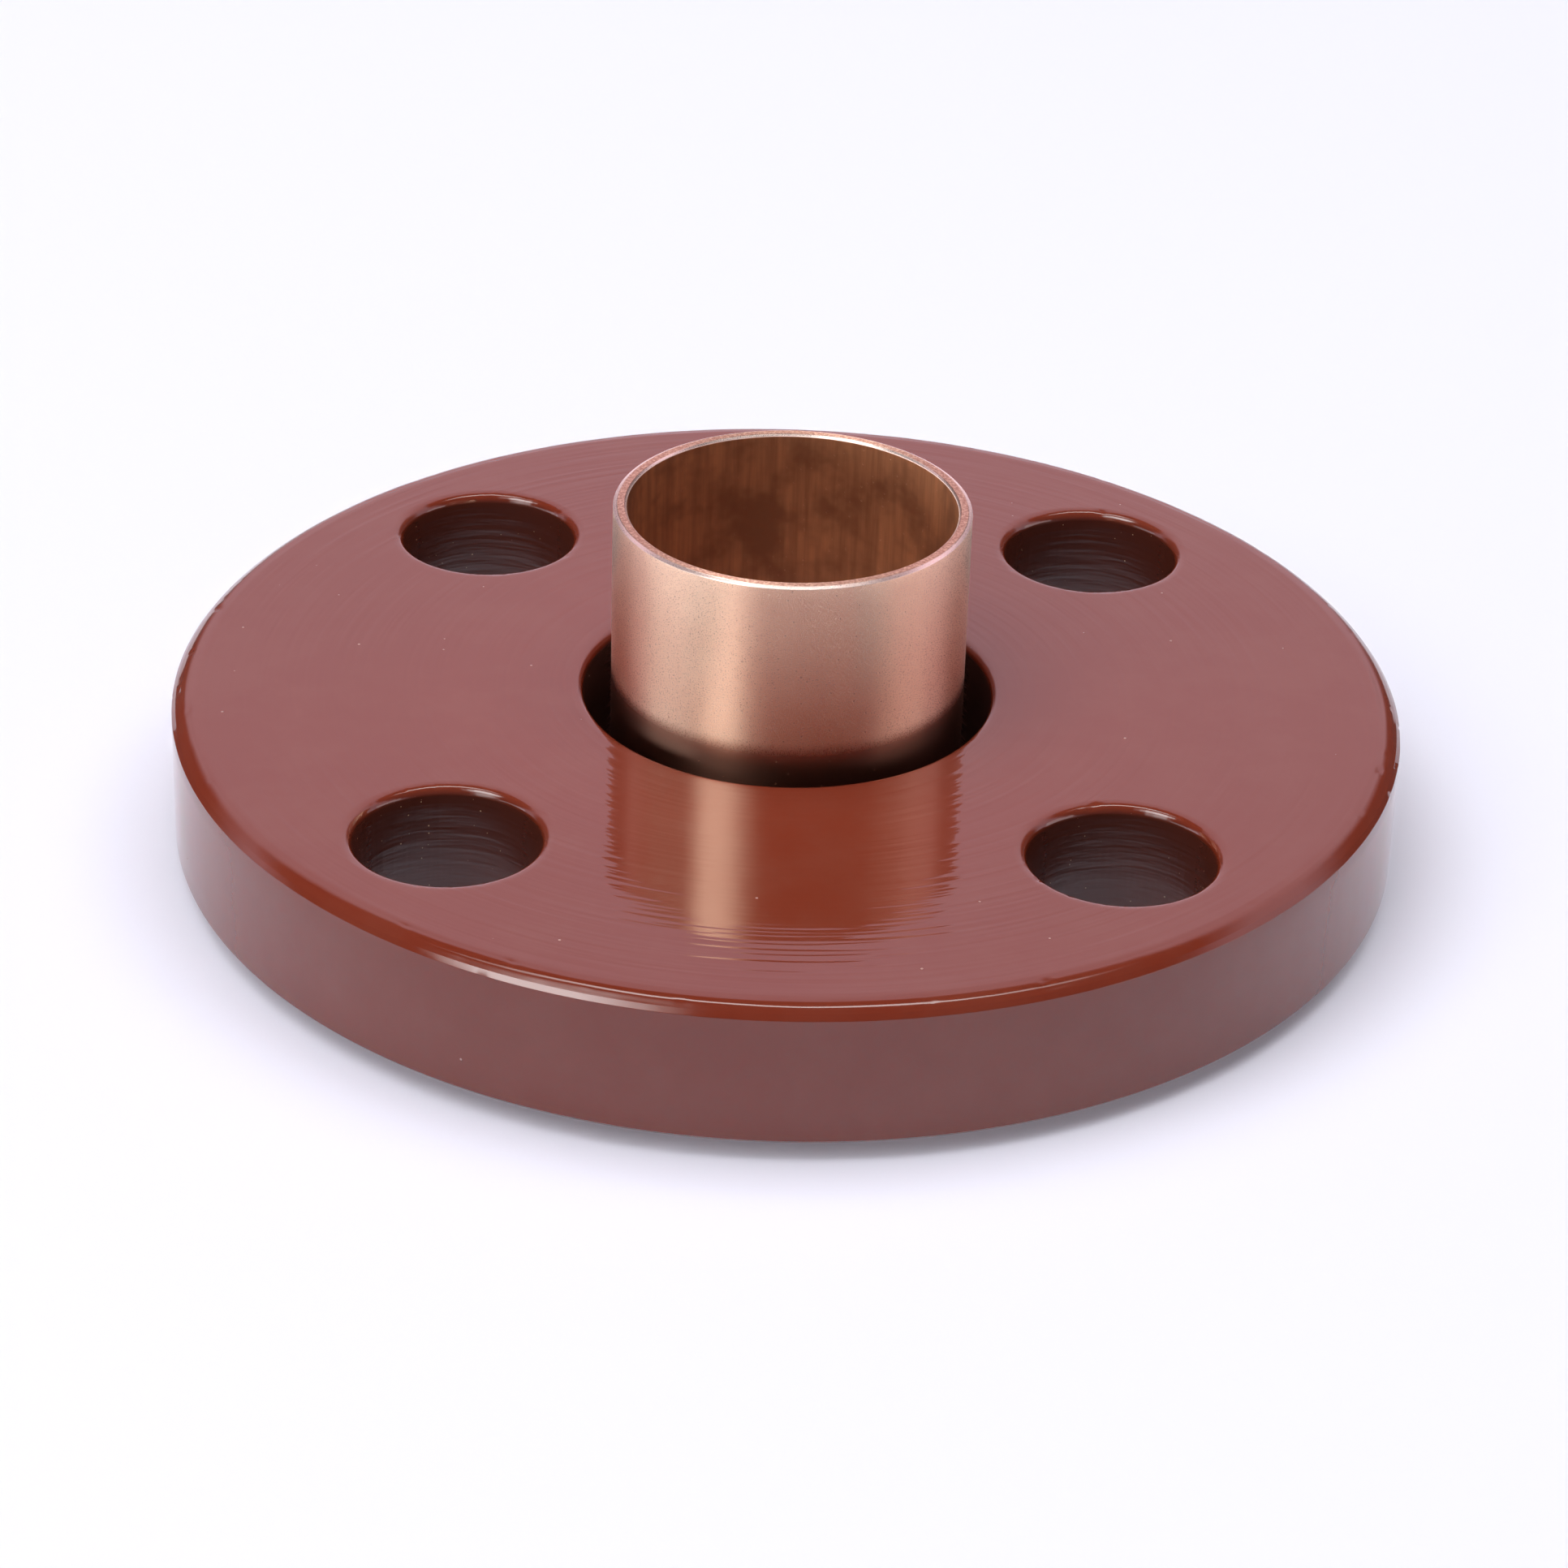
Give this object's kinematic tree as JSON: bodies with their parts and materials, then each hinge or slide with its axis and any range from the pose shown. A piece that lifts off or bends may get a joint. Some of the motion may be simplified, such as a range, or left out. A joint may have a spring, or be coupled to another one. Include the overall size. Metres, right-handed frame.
{
  "type": "pipe flange",
  "caption": "Two-piece flange for copper pipe: a loose red-brown painted steel ring with bolt holes, round a copper stub end with a flat lap below and a solder cup above.",
  "frame": {"origin": "centre of the lap's gasket face, on the pipe's axis, which is also the centre of the base that it stands on", "axes": "+Z along the pipe's axis, from the gasket face out of the solder cup's mouth; +Y and +X between the bolt holes"},
  "size_m": [0.108, 0.108, 0.0318],
  "materials": {
    "ring_paint": "glossy red-brown oxide paint over turned steel",
    "copper": "satin wrought copper, handled and slightly dulled"
  },
  "bodies": {
    "stub": {"copper_stub_end": "copper"},
    "ring": {"flange_ring": "ring_paint"}
  },
  "joints": [
    {"name": "ring_swivel", "type": "hinge", "parent": "stub", "child": "ring", "pos_m": [0, 0, 0.0016], "axis": [0, 0, 1], "continuous": true}
  ]
}
